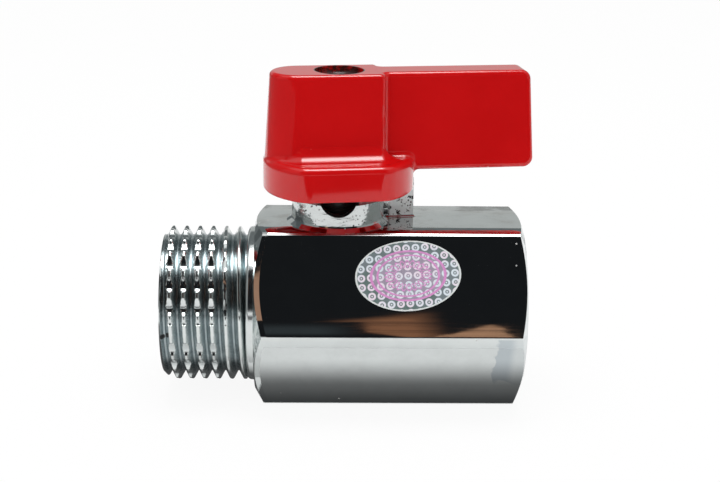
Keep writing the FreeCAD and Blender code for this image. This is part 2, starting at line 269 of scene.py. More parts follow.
def notch_depth(x, angle):
    """How far a notch cuts the crest down at a place on the thread."""
    reach = (NOTCH_NONE_X - x) / (NOTCH_NONE_X - NOTCH_FULL_X)
    reach = min(max(reach, 0.0), 1.0)
    spacing = 2 * math.pi * MAJOR / NOTCHES
    degrees = (math.degrees(angle) - NOTCH_DATUM + 180) % 360 - 180
    if NOTCH_WORN[0] < degrees < NOTCH_WORN[1]:
        reach *= NOTCH_WORN_LEFT
    turn = (degrees - NOTCH_FIRST) / 360 * NOTCHES
    place = (turn - math.floor(turn)) * spacing
    if place > spacing / 2:
        place -= spacing
    span = NOTCH_GENTLE if place > 0 else NOTCH_STEEP
    cut = 1 - (place / span) ** 2
    return NOTCH_DEPTH * reach * max(cut, 0.0)


def thread_marks():
    """Half widths of the flat and of the rounding on a crest, and the depth of the rounding."""
    drop = THREAD_ROUNDING * (1 - math.sin(FLANK))
    tangent = PITCH / 4 - ((MAJOR - MINOR) / 2 - drop) * FLANK_SLOPE
    return tangent - THREAD_ROUNDING * math.cos(FLANK), tangent, drop


def crest_drop(offset):
    """How far the thread lies under its crest, at a distance from the middle of the crest."""
    flat, tangent, drop = thread_marks()
    if offset <= flat:
        return 0.0
    if offset <= tangent:
        return THREAD_ROUNDING - math.sqrt(THREAD_ROUNDING ** 2 - (offset - flat) ** 2)
    return drop + (offset - tangent) / FLANK_SLOPE


def male_radius(x, angle):
    """Radius of the notched male thread at a place."""
    along = (x - THREAD_TIP) / PITCH + angle / (2 * math.pi) + THREAD_PHASE
    offset = abs((along - math.floor(along)) - 0.5) * PITCH
    if offset <= PITCH / 4:
        radius = MAJOR - crest_drop(offset)
    else:
        radius = MINOR + crest_drop(PITCH / 2 - offset)
    tip_limit = MAJOR - START_CHAMFER + (x - THREAD_TIP)
    return min(radius, MAJOR - notch_depth(x, angle), tip_limit)


def male_places():
    """Positions across a pitch, closer where the crest and the notches turn."""
    flat, tangent, drop = thread_marks()
    bend = flat + THREAD_ROUNDING * math.sin(ROUNDING_STEP)
    notch = tangent + (NOTCH_DEPTH - drop) * FLANK_SLOPE
    crest = [flat, bend, tangent, (tangent + notch) / 2, notch]
    root = [PITCH / 2 - value for value in (tangent, bend, flat)]
    half = [value / PITCH for value in [0.0] + crest + root + [PITCH / 2]]
    return [0.5 - value for value in reversed(half)] + [0.5 + value for value in half[1:-1]]


def thread_grid(bm, count):
    """The right-hand helical grid of the male thread; gives back its tip and foot rings."""
    places = male_places()
    turns = int((THREAD_FOOT - THREAD_TIP) / PITCH) + 3
    columns = []
    for j in range(count):
        angle = 2 * math.pi * j / count
        column = []
        for turn in range(turns):
            for place in places:
                x = THREAD_TIP + (turn + place - THREAD_PHASE - j / count) * PITCH
                x = min(max(x, THREAD_TIP), THREAD_FOOT)
                column.append(bm.verts.new(point(x, male_radius(x, angle), angle)))
        columns.append(column)
    for j in range(count):
        here = columns[j]
        there = columns[(j + 1) % count]
        step = len(places) if j == count - 1 else 0
        for i in range(step, len(here) - 1):
            bm.faces.new((here[i], there[i - step], there[i + 1 - step], here[i + 1]))
    return [column[0] for column in columns], [column[-1] for column in columns]


def join_rings(bm, rings):
    """Bands of faces between neighbouring rings of vertices."""
    for low, high in zip(rings, rings[1:]):
        count = len(low)
        for j in range(count):
            k = (j + 1) % count
            bm.faces.new((low[j], low[k], high[k], high[j]))


def new_piece(name, bm):
    """An object in the scene from a mesh under work."""
    mesh = bpy.data.meshes.new(name)
    bm.to_mesh(mesh)
    bm.free()
    piece = bpy.data.objects.new(name, mesh)
    scene.collection.objects.link(piece)
    return piece


def smooth_piece(name, bm):
    """A piece with faces outwards and smooth, and sharp edges where its surface turns."""
    bmesh.ops.recalc_face_normals(bm, faces=bm.faces[:])
    limit = math.radians(SHARP_ANGLE)
    for face in bm.faces:
        face.smooth = True
    for edge in bm.edges:
        closed = len(edge.link_faces) == 2
        edge.smooth = closed and edge.calc_face_angle(0.0) < limit
    return new_piece(name, bm)


def make_nipple():
    """The male end: thread, collar, barrel and the bore back to the tip."""
    bm = bmesh.new()
    count = NOTCHES * NOTCH_STEPS
    tip, foot = thread_grid(bm, count)
    profile = [(THREAD_FOOT + along, radius) for along, radius in COLLAR_RIM]
    profile += [(INLET_END, COLLAR_RADIUS), (INLET_END, BARREL_RADIUS),
                (-SEAT_MOUTH, BARREL_RADIUS), (-SEAT_MOUTH, SEAT_RADIUS),
                (-SEAT_BACK, SEAT_RADIUS), (-SEAT_BACK, FLOW_RADIUS),
                (-NECK_IN, FLOW_RADIUS), (-NECK_IN - NIPPLE_BORE + FLOW_RADIUS, NIPPLE_BORE),
                (THREAD_TIP + BORE_CHAMFER, NIPPLE_BORE),
                (THREAD_TIP, NIPPLE_BORE + BORE_CHAMFER)]
    rings = [foot]
    for x, radius in profile:
        ring = [point(x, radius, 2 * math.pi * j / count) for j in range(count)]
        rings.append([bm.verts.new(place) for place in ring])
    join_rings(bm, rings + [tip])
    bmesh.ops.remove_doubles(bm, verts=bm.verts[:], dist=MERGE_DISTANCE)
    bmesh.ops.dissolve_degenerate(bm, edges=bm.edges[:], dist=SLIVER_LENGTH)
    return smooth_piece("nipple_thread", bm)


def make_neck_foot():
    """The cast shoulder between the neck and the top flat, a closed ring about the stem."""
    bm = bmesh.new()
    rings = []
    for radius, height in NECK_FOOT:
        ring = []
        for j in range(NECK_FOOT_STEPS):
            angle = 2 * math.pi * j / NECK_FOOT_STEPS
            place = Vector((radius * math.cos(angle), radius * math.sin(angle), height))
            ring.append(bm.verts.new(place * MM))
        rings.append(ring)
    join_rings(bm, rings + rings[:1])
    return smooth_piece("neck_foot", bm)


def ledge_width(place, outward):
    """Room on the ledge from a point on the boss, along its outward direction."""
    width = 0.0
    while width < SWEEP_SEARCH:
        spot = place + outward * width
        if spot.length > LEDGE_RADIUS or abs(spot.y) > LEDGE_HALF:
            break
        width += LEDGE_STEP
    return width


def arc_path(centre, radius, arc):
    """Points on an arc and their outward directions."""
    path = []
    for degrees in arc:
        angle = math.radians(degrees)
        outward = Vector((math.cos(angle), math.sin(angle)))
        path.append((Vector(centre) + outward * radius, outward))
    return path


def boss_path():
    """Points and outward directions round one side of the boss, from the rear to the blade."""
    side_end = BOSS_FRONT - BOSS_CORNER
    sideways = Vector((0.0, -1.0))
    forward = Vector((1.0, 0.0))
    path = arc_path((BOSS_REAR, 0.0), BOSS_HALF, BOSS_REAR_ARC)
    for step in range(BOSS_SIDE_STEPS + 1):
        x = BOSS_REAR + (side_end - BOSS_REAR) * step / BOSS_SIDE_STEPS
        path.append((Vector((x, -BOSS_HALF)), sideways))
    path += arc_path((side_end, BOSS_CORNER - BOSS_HALF), BOSS_CORNER, BOSS_CORNER_ARC)
    path += [(Vector((BOSS_FRONT, y)), forward) for y in BOSS_FRONT_PLACES]
    return path


def sweep_section(radius):
    """Outline across the sweep: distance out from the boss and height over the ledge."""
    section = [(-SWEEP_IN_BOSS, -SWEEP_IN_LEDGE), (-SWEEP_IN_BOSS, radius)]
    for i in range(SWEEP_STEPS + 1):
        angle = math.pi / 2 * i / SWEEP_STEPS
        height = radius * (1 - math.sin(angle))
        out = radius * (1 - math.cos(angle)) - SWEEP_LAP - height * BOSS_DRAFT
        section.append((out, height - SWEEP_SINK))
    section.append((radius, -SWEEP_IN_LEDGE))
    return section


def make_boss_sweep(name, side):
    """The hollow sweep from the boss to the ledge on one side, sunk a little into both."""
    bm = bmesh.new()
    turn = Matrix.Rotation(REST_TURN, 3, "Z")
    rows = []
    for place, outward in boss_path():
        row = []
        room = SWEEP_ROOM * ledge_width(place, outward)
        for out, height in sweep_section(min(SWEEP_RADIUS, room)):
            spot = place + outward * out
            turned = turn @ Vector((spot.x, side * spot.y, LEDGE_Z + height))
            row.append(bm.verts.new(turned * MM))
        rows.append(row)
    join_rings(bm, rows)
    bm.faces.new(rows[0])
    bm.faces.new(rows[-1])
    return smooth_piece(name, bm)


class Shader:
    """A material, with short calls for the nodes that it is made of."""

    def __init__(self, name):
        self.material = bpy.data.materials.new(name)
        self.material.use_nodes = True
        self.tree = self.material.node_tree
        self.bsdf = self.tree.nodes["Principled BSDF"]
        spots = self.node("TexCoord")
        self.place = spots.outputs["Object"]
        self.spread = spots.outputs["Generated"]

    def node(self, kind, **values):
        """A node of one kind with its properties set."""
        made = self.tree.nodes.new("ShaderNode" + kind)
        for key, value in values.items():
            setattr(made, key, value)
        return made

    def feed(self, socket, value):
        """Give a socket a number, a colour or the output of another node."""
        if isinstance(value, (int, float)):
            socket.default_value = value
        elif isinstance(value, tuple):
            socket.default_value = (*value, 1.0)
        else:
            self.tree.links.new(value, socket)

    def set(self, **values):
        """Feed the sockets of the surface."""
        for key, value in values.items():
            self.feed(self.bsdf.inputs[key.replace("_", " ")], value)

    def math(self, operation, *values):
        made = self.node("Math", operation=operation)
        for socket, value in zip(made.inputs, values):
            self.feed(socket, value)
        return made.outputs[0]

    def times(self, product, *factors):
        for factor in factors:
            product = self.math("MULTIPLY", product, factor)
        return product

    def plus(self, first, second):
        return self.math("ADD", first, second)

    def less(self, first, second):
        return self.math("SUBTRACT", first, second)

    def rest(self, share):
        """What a share leaves of the whole."""
        return self.math("SUBTRACT", 1.0, share)

    def size(self, value):
        """A value without its sign."""
        return self.math("ABSOLUTE", value)

    def more(self, share, amount, start):
        """A value that grows from its start by an amount times a share."""
        return self.math("MULTIPLY_ADD", share, amount, start)

    def length(self, first, second):
        """Length of the diagonal over two sides."""
        squares = [self.math("MULTIPLY", value, value) for value in (first, second)]
        return self.math("SQRT", self.plus(*squares))

    def along(self, right, up, angle):
        """Place along a direction that is turned by an angle."""
        return self.plus(self.times(right, math.cos(angle)), self.times(up, math.sin(angle)))

    def aside(self, right, up, angle):
        """Place square to such a direction."""
        return self.less(self.times(up, math.cos(angle)), self.times(right, math.sin(angle)))

    def ramp(self, value, low, high, low_value=0.0, high_value=1.0, smooth=True):
        """A step from one value to another as the input goes from low to high."""
        made = self.node("MapRange", interpolation_type="SMOOTHSTEP" if smooth else "LINEAR")
        made.inputs["From Min"].default_value = low
        made.inputs["From Max"].default_value = high
        made.inputs["To Min"].default_value = low_value
        made.inputs["To Max"].default_value = high_value
        self.feed(made.inputs["Value"], value)
        return made.outputs["Result"]

    def fall(self, value, low, high):
        """A share that is whole up to low and gone from high on."""
        return self.ramp(value, low, high, 1.0, 0.0)

    def hump(self, value, low, full_from, full_to, high):
        """A share that rises and falls again."""
        return self.times(self.ramp(value, low, full_from), self.fall(value, full_to, high))

    def mix(self, factor, first, second):
        """A colour between two."""
        made = self.node("Mix", data_type="RGBA")
        for index, value in ((0, factor), (6, first), (7, second)):
            self.feed(made.inputs[index], value)
        return made.outputs[2]

    def stretch(self, scale, move=(0, 0, 0)):
        """The place on the piece, scaled and moved, in metres."""
        made = self.node("Mapping")
        made.inputs["Scale"].default_value = scale
        made.inputs["Location"].default_value = move
        self.feed(made.inputs["Vector"], self.place)
        return made.outputs[0]

    def noise(self, scale, detail, roughness, vector=None):
        made = self.node("TexNoise")
        made.inputs["Scale"].default_value = scale
        made.inputs["Detail"].default_value = detail
        made.inputs["Roughness"].default_value = roughness
        self.feed(made.inputs["Vector"], vector or self.place)
        return made.outputs["Fac"]

    def cells(self, scale, vector=None, randomness=1.0):
        """Distance to the middle of the nearest of many cells."""
        made = self.node("TexVoronoi")
        made.inputs["Scale"].default_value = scale
        made.inputs["Randomness"].default_value = randomness
        self.feed(made.inputs["Vector"], vector or self.place)
        return made.outputs["Distance"]

    def bump(self, height, strength, depth, before=None):
        """The normal over a relief of some depth in millimetres."""
        made = self.node("Bump")
        made.inputs["Strength"].default_value = strength
        made.inputs["Distance"].default_value = depth * MM
        self.feed(made.inputs["Height"], height)
        if before is not None:
            self.feed(made.inputs["Normal"], before)
        return made.outputs["Normal"]

    def axes(self, vector):
        """The X, Y and Z of a vector."""
        made = self.node("SeparateXYZ")
        self.feed(made.inputs[0], vector)
        return made.outputs

    def millimetres(self):
        """The X, Y and Z of the place on the piece."""
        made = self.node("VectorMath", operation="SCALE")
        made.inputs["Scale"].default_value = 1 / MM
        self.feed(made.inputs[0], self.place)
        return self.axes(made.outputs[0])


def plating(s, worn, waves, normal=None):
    """Bright plating with faint polishing lines, duller patches and dust.

    worn is the tone of the patches and waves the strength of the waviness.
    Gives back the tone, the metal, the roughness and the normal.
    """
    lines = s.noise(scale=60, detail=3, roughness=0.6, vector=s.stretch((4, 60, 60)))
    sway = s.noise(scale=90, detail=2, roughness=0.4, vector=s.stretch((0.6, 1, 1)))
    patch = s.noise(scale=260, detail=4, roughness=0.6)
    sparse = s.ramp(s.noise(scale=420, detail=1, roughness=0.5), 0.62, 0.68)
    speck = s.times(s.fall(s.cells(scale=700), 0.06, 0.11), sparse)
    tone = s.mix(s.ramp(patch, 0.35, 0.75), CHROME, tuple(worn * share for share in CHROME))
    tone = s.mix(speck, tone, DUST)
    metal = s.rest(s.times(speck, 0.75))
    rough = s.ramp(lines, 0.3, 0.8, 0.03, 0.075)
    normal = s.bump(sway, strength=waves, depth=0.1, before=normal)
    normal = s.bump(lines, strength=0.02, depth=0.02, before=normal)
    return tone, metal, rough, normal


def chrome(name, worn, waves):
    """Plain chrome."""
    s = Shader(name)
    tone, metal, rough, normal = plating(s, worn, waves)
    s.set(Base_Color=tone, Metallic=metal, Roughness=rough, Normal=normal)
    return s.material


def thread_chrome():
    """Chrome that is thin and dull in the roots of the male thread, with painted shade darkening
    the roots, and one black spot.
    """
    s = Shader("nipple_chrome")
    tone, metal, rough, normal = plating(s, worn=0.9, waves=0.03)
    x, y, z = s.millimetres()
    radius = s.length(y, s.less(z, AXIS_Z))
    in_thread = s.times(s.ramp(radius, *ROOT_FLOOR), s.ramp(x, *ROOT_X))
    mottle = s.ramp(s.noise(scale=500, detail=3, roughness=0.6), 0.25, 0.7, 0.72, 0.95)
    # Duller plating and painted shade in the thread roots
    root = s.times(s.fall(radius, *ROOT_RADIUS), in_thread, mottle)
    from_spot = s.length(s.less(x, TAR_SPOT[0]), s.less(z, TAR_SPOT[1]))
    tar = s.times(s.fall(from_spot, *TAR_RADIUS), s.fall(y, *TAR_FRONT))
    tone = s.mix(root, tone, ROOT_DULL_AND_SHADE_TONE)
    tone = s.mix(tar, tone, TAR)
    metal = s.times(metal, s.rest(tar))
    rough = s.plus(rough, s.more(root, 0.12, 0.08))
    s.set(Base_Color=tone, Metallic=metal, Roughness=rough, Normal=normal)
    return s.material


def polished_shape(s):
    """Height that buffing has left: crowned flats and a rolled inlet edge, in millimetres."""
    x, y, z = s.millimetres()
    lift = s.less(z, AXIS_Z)
    radius = s.length(y, lift)
    sixth = s.math("DIVIDE", s.math("ARCTAN2", lift, y), HEX_SECTOR)
    from_middle = s.less(s.math("FRACT", sixth), 0.5)
    across = s.times(radius, s.math("SINE", s.times(from_middle, HEX_SECTOR)))
    edge = s.math("POWER", s.math("DIVIDE", s.size(across), HEX_HALF_SIDE), CROWN_POWER)
    crown = s.times(edge, CROWN_SLOPE * HEX_HALF_SIDE / CROWN_POWER)
    on_top = s.math("COMPARE", s.math("FLOOR", sixth), TOP_SECTOR, 0.5)
    crown = s.times(crown, s.more(on_top, TOP_CROWN - 1.0, 1.0))
    cone = s.times(s.less(radius, INLET_FACE_RADIUS), INLET_SLOPE)
    inward = s.less(s.less(x, INLET_END), cone)
    roll = s.ramp(inward, 0.0, ROLL_WIDTH, ROLL_WIDTH * ROLL_SLOPE, 0.0, smooth=False)
    buffed = s.times(s.ramp(radius, *BUFFED_RADIUS), s.fall(z, *UNBUFFED_Z))
    return s.rest(s.times(s.plus(crown, roll), buffed))


def stain(s, x, y, z):
    """Share of a ragged stain at the port end of the lower flat in front."""
    ragged = s.more(s.noise(scale=300, detail=3, roughness=0.6), STAIN_X_RAGGED, x)
    elsewhere = s.stretch((1, 1, 1), move=(0.03, 0, 0))
    uneven = s.noise(scale=240, detail=2, roughness=0.5, vector=elsewhere)
    uneven = s.more(uneven, STAIN_Z_RAGGED, z)
    spread = s.times(s.ramp(ragged, *STAIN_X), s.ramp(uneven, *STAIN_Z))
    on_flat = s.times(s.fall(z, *STAIN_TOP), s.fall(y, *STAIN_FRONT))
    return s.times(spread, on_flat, s.ramp(x, *STAIN_PALER_X, 1.0, 0.3))


def body_chrome():
    """Chrome over a buffed hexagon, with a pitted cast neck and post, and painted shade in the stem
    room.
    """
    s = Shader("body_chrome")
    normal = s.bump(polished_shape(s), strength=1.0, depth=1.0)
    tone, metal, rough, normal = plating(s, worn=0.93, waves=0.05, normal=normal)
    x, y, z = s.millimetres()
    cast = s.ramp(z, *CAST_Z)
    post = s.times(cast, s.ramp(x, *POST_X))
    # Painted shade: nearly black and duller inside the stem room round the stem
    painted_shade = s.times(s.fall(s.length(x, y), *STEM_ROOM_SHADE_RADIUS), s.ramp(z, *STEM_ROOM_SHADE_Z))

    grain = s.noise(scale=900, detail=5, roughness=0.65)
    cluster = s.ramp(s.noise(scale=330, detail=2, roughness=0.5), 0.42, 0.62)
    holes = s.fall(s.more(grain, 0.35, s.cells(scale=2100)), 0.36, 0.46)
    crust = s.fall(s.noise(scale=1300, detail=5, roughness=0.7), 0.39, 0.44)
    pits = s.math("MAXIMUM", s.times(holes, cluster), s.times(crust, post))
    pits = s.times(pits, cast)
    swell = s.noise(scale=420, detail=2, roughness=0.5, vector=s.stretch((1, 1, 3)))
    dents = s.less(s.times(swell, cast), pits)

    film = s.ramp(s.noise(scale=190, detail=5, roughness=0.65), 0.42, 0.7)
    dusty = s.times(s.ramp(z, *TOP_FLAT_Z), s.rest(cast), film)

    tone = s.mix(s.times(cast, 0.22), tone, CAST_TONE)
    tone = s.mix(s.times(dusty, 0.4), tone, TOP_DUST)
    tone = s.mix(stain(s, x, y, z), tone, STAIN_TONE)
    tone = s.mix(post, tone, POST_TONE)
    tone = s.mix(pits, tone, PIT_TONE)
    tone = s.mix(painted_shade, tone, PAINTED_SHADE_TONE)
    metal = s.times(metal, s.rest(painted_shade), s.rest(s.times(post, 0.7)))
    for share, duller in ((dusty, 0.12), (cast, 0.09), (post, 0.10), (painted_shade, 0.4)):
        rough = s.more(share, duller, rough)
    normal = s.bump(dents, strength=0.5, depth=0.1, before=normal)
    s.set(Base_Color=tone, Metallic=metal, Roughness=rough, Normal=normal)
    return s.material


def paint():
    """Gloss red paint with orange peel and nibs, bare spots under the blade and a screw recess that
    is darkened unevenly.
    """
    s = Shader("gloss_red_paint")
    peel = s.noise(scale=520, detail=2, roughness=0.45)
    flow = s.noise(scale=120, detail=2, roughness=0.5)
    cloud = s.noise(scale=90, detail=3, roughness=0.55)
    sparse = s.ramp(s.noise(scale=300, detail=1, roughness=0.5), 0.63, 0.68)
    nib = s.times(s.fall(s.cells(scale=620), 0.05, 0.1), sparse)

    x, y, z = s.millimetres()
    across = s.aside(x, y, REST_TURN)
    blade_edge = s.times(s.ramp(x, *BLADE_X), s.ramp(s.size(across), *BLADE_EDGE))
    spots = s.fall(s.cells(scale=900), 0.2, 0.32)
    bare = s.times(s.fall(z, *BLADE_UNDER_Z), blade_edge, spots)
    # Darker, unevenly, inside the screw recess
    recess = s.times(s.fall(s.length(x, y), *RECESS_RADIUS), s.ramp(z, *RECESS_Z))
    recess_patches = s.ramp(s.noise(scale=800, detail=4, roughness=0.65), 0.38, 0.55, 0.25, 0.95)

    tone = s.mix(s.ramp(cloud, 0.3, 0.75), RED, RED_LIGHT)
    tone = s.mix(s.times(nib, 0.55), tone, NIB_TONE)
    tone = s.mix(bare, tone, BARE_METAL)
    tone = s.mix(s.times(recess, recess_patches), tone, RECESS_DARK_TONE)
    normal = s.bump(flow, strength=0.06, depth=0.2)
    normal = s.bump(peel, strength=0.035, depth=0.05, before=normal)
    normal = s.bump(nib, strength=0.25, depth=0.04, before=normal)
    s.set(Base_Color=tone, Roughness=s.ramp(cloud, 0.2, 0.8, 0.28, 0.36), Normal=normal,
          Coat_Weight=1.0, Coat_Roughness=0.04, Coat_IOR=1.5, Specular_IOR_Level=0.05)
    return s.material


def turned_metal(name, colour, dark, line_scale, rough, shaded_above_body=False):
    """Turned metal with grime; on the stem, painted shade makes it black where it stands out of the
    body.
    """
    s = Shader(name)
    rings = s.noise(scale=line_scale, detail=3, roughness=0.6, vector=s.stretch((0.1, 0.1, 6)))
    grime = s.noise(scale=500, detail=4, roughness=0.6)
    tone = s.mix(s.ramp(grime, 0.3, 0.75), colour, dark)
    metal = 1.0
    if shaded_above_body:
        # Painted shade: black from the height where the stem stands out of the body
        painted_shade = s.ramp(s.more(grime, 0.6, s.millimetres()["Z"]), *STEM_SHADE_Z)
        tone = s.mix(painted_shade, tone, PAINTED_SHADE_TONE)
        metal = s.rest(painted_shade)
    s.set(Base_Color=tone, Metallic=metal, Roughness=s.ramp(rings, 0.3, 0.7, *rough),
          Normal=s.bump(rings, strength=0.12, depth=0.03))
    return s.material


def soft_plastic(name, colour, shade, grain_scale, rough):
    """Plastic or rubber with a fine grain and faint clouds."""
    s = Shader(name)
    grain = s.noise(scale=grain_scale, detail=4, roughness=0.6)
    cloud = s.noise(scale=180, detail=3, roughness=0.5)
    tone = s.mix(s.ramp(cloud, 0.3, 0.7), colour, shade)
    s.set(Base_Color=tone, Roughness=s.ramp(grain, 0.3, 0.7, *rough),
          Normal=s.bump(grain, strength=0.1, depth=0.03))
    return s.material


def foil():
    """Foil sticker: rows of small rings, two oval rims and a plain rosette."""
    s = Shader("ring_lattice_foil")
    x, y, z = s.millimetres()
    right = s.less(x, LABEL_X)
    rise = s.less(s.along(y, s.less(z, AXIS_Z), LABEL_FLAT), LABEL_UP)
    along = s.along(right, rise, LABEL_TILT)
    up = s.aside(right, rise, LABEL_TILT)
    flat = s.node("CombineXYZ")
    s.feed(flat.inputs["X"], along)
    s.feed(flat.inputs["Y"], up)
    on_flat = flat.outputs[0]
    radius = s.length(s.math("DIVIDE", along, LABEL_HALF_LONG),
                      s.math("DIVIDE", up, LABEL_HALF_SHORT))

    cell = s.cells(LATTICE, on_flat, randomness=0.0)
    ring = s.fall(s.size(s.less(cell, RING_RADIUS)), *RING_EDGE)
    ring = s.math("MAXIMUM", ring, s.fall(cell, *DOT_EDGE))
    drawn = []
    for size, width in RIMS:
        drawn.append(s.fall(s.size(s.less(radius, size)), width, width + RIM_BLUR))
    angle = s.math("ARCTAN2", s.times(up, LABEL_HALF_LONG / LABEL_HALF_SHORT), along)
    petals = s.times(s.math("COSINE", s.times(angle, PETALS)), PETAL_DEPTH)
    for wave in (s.plus(ROSETTE, petals), s.less(ROSETTE, petals)):
        drawn.append(s.fall(s.size(s.less(radius, wave)), *ROSETTE_EDGE))
    lines = drawn[0]
    for line in drawn[1:]:
        lines = s.math("MAXIMUM", lines, line)

    hue = s.noise(scale=0.3, detail=1, roughness=0.4, vector=on_flat)
    pale = s.mix(s.ramp(hue, 0.38, 0.62), FOIL_PINK, FOIL_BLUE)
    ground = s.mix(s.ramp(hue, 0.4, 0.65), FOIL_GREEN, FOIL_SLATE)
    ground = s.mix(s.times(s.fall(radius, *INNER_OVAL), 0.55), ground, FOIL_INNER)
    tone = s.mix(ring, ground, pale)
    tone = s.mix(lines, tone, FOIL_LINES)
    tone = s.mix(s.ramp(radius, *LABEL_BORDER), tone, FOIL_BORDER)
    grain = s.noise(scale=900, detail=2, roughness=0.5)
    s.set(Base_Color=tone, Metallic=0.1, Roughness=s.ramp(grain, 0.3, 0.7, 0.22, 0.34),
          Normal=s.bump(s.plus(ring, lines), strength=0.05, depth=0.02))
    return s.material


def card(name, corners, colour, strength=1.0, fade=None):
    """A flag or reflector that only mirror-like surfaces see.

    fade(shader) gives the share of its colour over a flag's black; without it the card is whole.
    """
    mesh = bpy.data.meshes.new(name)
    mesh.from_pydata([Vector(corner) * MM for corner in corners], [], [tuple(range(len(corners)))])
    made = bpy.data.objects.new(name, mesh)
    scene.collection.objects.link(made)
    s = Shader(name + "_tone")
    tone = s.mix(fade(s), FLAG, colour) if fade else colour
    s.set(Base_Color=BLACK, Specular_IOR_Level=0.0, Emission_Color=tone,
          Emission_Strength=strength)
    mesh.materials.append(s.material)
    made.visible_camera = False
    made.visible_diffuse = False
    made.visible_shadow = False
    made.visible_transmission = False


def level(x, y, z):
    """Corners of a level card; x and y are spans."""
    return [(x[0], y[0], z), (x[1], y[0], z), (x[1], y[1], z), (x[0], y[1], z)]


def facing(x, low, high):
    """Corners of a card in front or behind; low and high are Y and Z of its two edges."""
    return [(x[0], *low), (x[1], *low), (x[1], *high), (x[0], *high)]


def beside(x, y, z):
    """Corners of an upright card at one end of the valve; y and z are spans."""
    return [(x, y[0], z[0]), (x, y[1], z[0]), (x, y[1], z[1]), (x, y[0], z[1])]


def folds(s):
    """Share of a card with soft folds along it."""
    wrinkle = s.noise(scale=9, detail=3, roughness=0.6, vector=s.stretch((1, 1, 9)))
    return s.ramp(wrinkle, 0.3, 0.6, 0.55, 1.0)


def soft_tongue(s):
    """Share of a card that widens from a point on its left, soft at its sides, with folds."""
    place = s.millimetres()
    from_tip = s.less(place["X"], TONGUE_TIP[0])
    rise = s.less(place["Z"], TONGUE_TIP[1])
    under = s.ramp(s.more(from_tip, TONGUE_UNDER, rise), *TONGUE_UNDER_BLUR)
    over = s.ramp(s.less(s.times(from_tip, TONGUE_OVER), rise), *TONGUE_OVER_BLUR)
    return s.times(under, over, s.fall(place["X"], *TONGUE_END), folds(s))


def dim_band(s):
    """Share of a card that fades to all its sides."""
    spread = s.axes(s.spread)
    wide = s.hump(spread["X"], 0.0, 0.2, 0.6, 1.0)
    return s.times(wide, s.hump(spread["Z"], 0.0, 0.3, 0.5, 1.0))


def soft_box(s):
    """Share of light over a softbox, full in its middle."""
    spread = s.axes(s.spread)
    wide = s.hump(spread["X"], 0.0, 0.25, 0.75, 1.0)
    return s.times(wide, s.hump(spread["Y"], 0.0, 0.4, 0.6, 1.0))


def contact_shade(s):
    """Share of light on the floor, from the shade by the valve to the open floor."""
    away = s.size(s.millimetres()["Y"])
    return s.plus(s.ramp(away, *CONTACT_SHADE, smooth=False), s.ramp(away, *CONTACT_OPEN))


def thread_shade(s):
    """Share of light on the floor under the male end, from the open floor in front to the shade."""
    return s.ramp(s.millimetres()["Y"], *THREAD_SHADE)


def plain_shader(tree, kind, colour, **values):
    """A shader node of one kind and colour."""
    made = tree.nodes.new("ShaderNode" + kind)
    made.inputs["Color"].default_value = (*colour, 1.0)
    for key, value in values.items():
        made.inputs[key].default_value = value
    return made.outputs[0]


def join_math(tree, operation, first, second):
    """A math node over two outputs, or an output and a number."""
    made = tree.nodes.new("ShaderNodeMath")
    made.operation = operation
    tree.links.new(first, made.inputs[0])
    if isinstance(second, float):
        made.inputs[1].default_value = second
    else:
        tree.links.new(second, made.inputs[1])
    return made.outputs[0]


def mix_out(tree, kind, share, first, second):
    """Send a mix of two shaders to the output of a tree."""
    mix = tree.nodes.new("ShaderNodeMixShader")
    for socket, source in zip(mix.inputs, (share, first, second)):
        tree.links.new(source, socket)
    out = tree.nodes.new("ShaderNodeOutput" + kind)
    tree.links.new(mix.outputs[0], out.inputs["Surface"])


def make_floor():
    """A pale matte floor that the camera sees as white."""
    bm = bmesh.new()
    bmesh.ops.create_grid(bm, x_segments=2, y_segments=2, size=FLOOR_HALF * MM)
    floor = new_piece("floor", bm)
    material = bpy.data.materials.new("pale_floor")
    material.use_nodes = True
    tree = material.node_tree
    tree.nodes.clear()
    path = tree.nodes.new("ShaderNodeLightPath").outputs
    share = join_math(tree, "MULTIPLY", path["Is Camera Ray"], FLOOR_WHITE)
    matte = plain_shader(tree, "BsdfDiffuse", FLOOR_TONE)
    white = plain_shader(tree, "Emission", WHITE)
    mix_out(tree, "Material", share, matte, white)
    floor.data.materials.append(material)
    floor.location.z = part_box("body")[0].z - FLOOR_GAP * MM


def make_world():
    """A plain fill light that the camera and mirrors see as white."""
    world = bpy.data.worlds.new("studio")
    scene.world = world
    world.use_nodes = True
    tree = world.node_tree
    tree.nodes.clear()
    path = tree.nodes.new("ShaderNodeLightPath").outputs
    seen = join_math(tree, "MAXIMUM", path["Is Camera Ray"], path["Is Glossy Ray"])
    seen = join_math(tree, "MAXIMUM", seen, path["Is Transmission Ray"])
    fill = plain_shader(tree, "Background", WHITE, Strength=FILL_STRENGTH)
    white = plain_shader(tree, "Background", WHITE, Strength=1.0)
    mix_out(tree, "World", seen, fill, white)


def area_light(name, place, aim, size, power):
    """A rectangular light that mirrors don't show."""
    light = bpy.data.lights.new(name, "AREA")
    light.shape = "RECTANGLE"
    light.size = size[0] * MM
    light.size_y = size[1] * MM
    light.energy = power
    made = bpy.data.objects.new(name, light)
    scene.collection.objects.link(made)
    made.location = Vector(place) * MM
    made.rotation_euler = (Vector(aim) - Vector(place)).to_track_quat("-Z", "Y").to_euler()
    made.visible_glossy = False
    return made


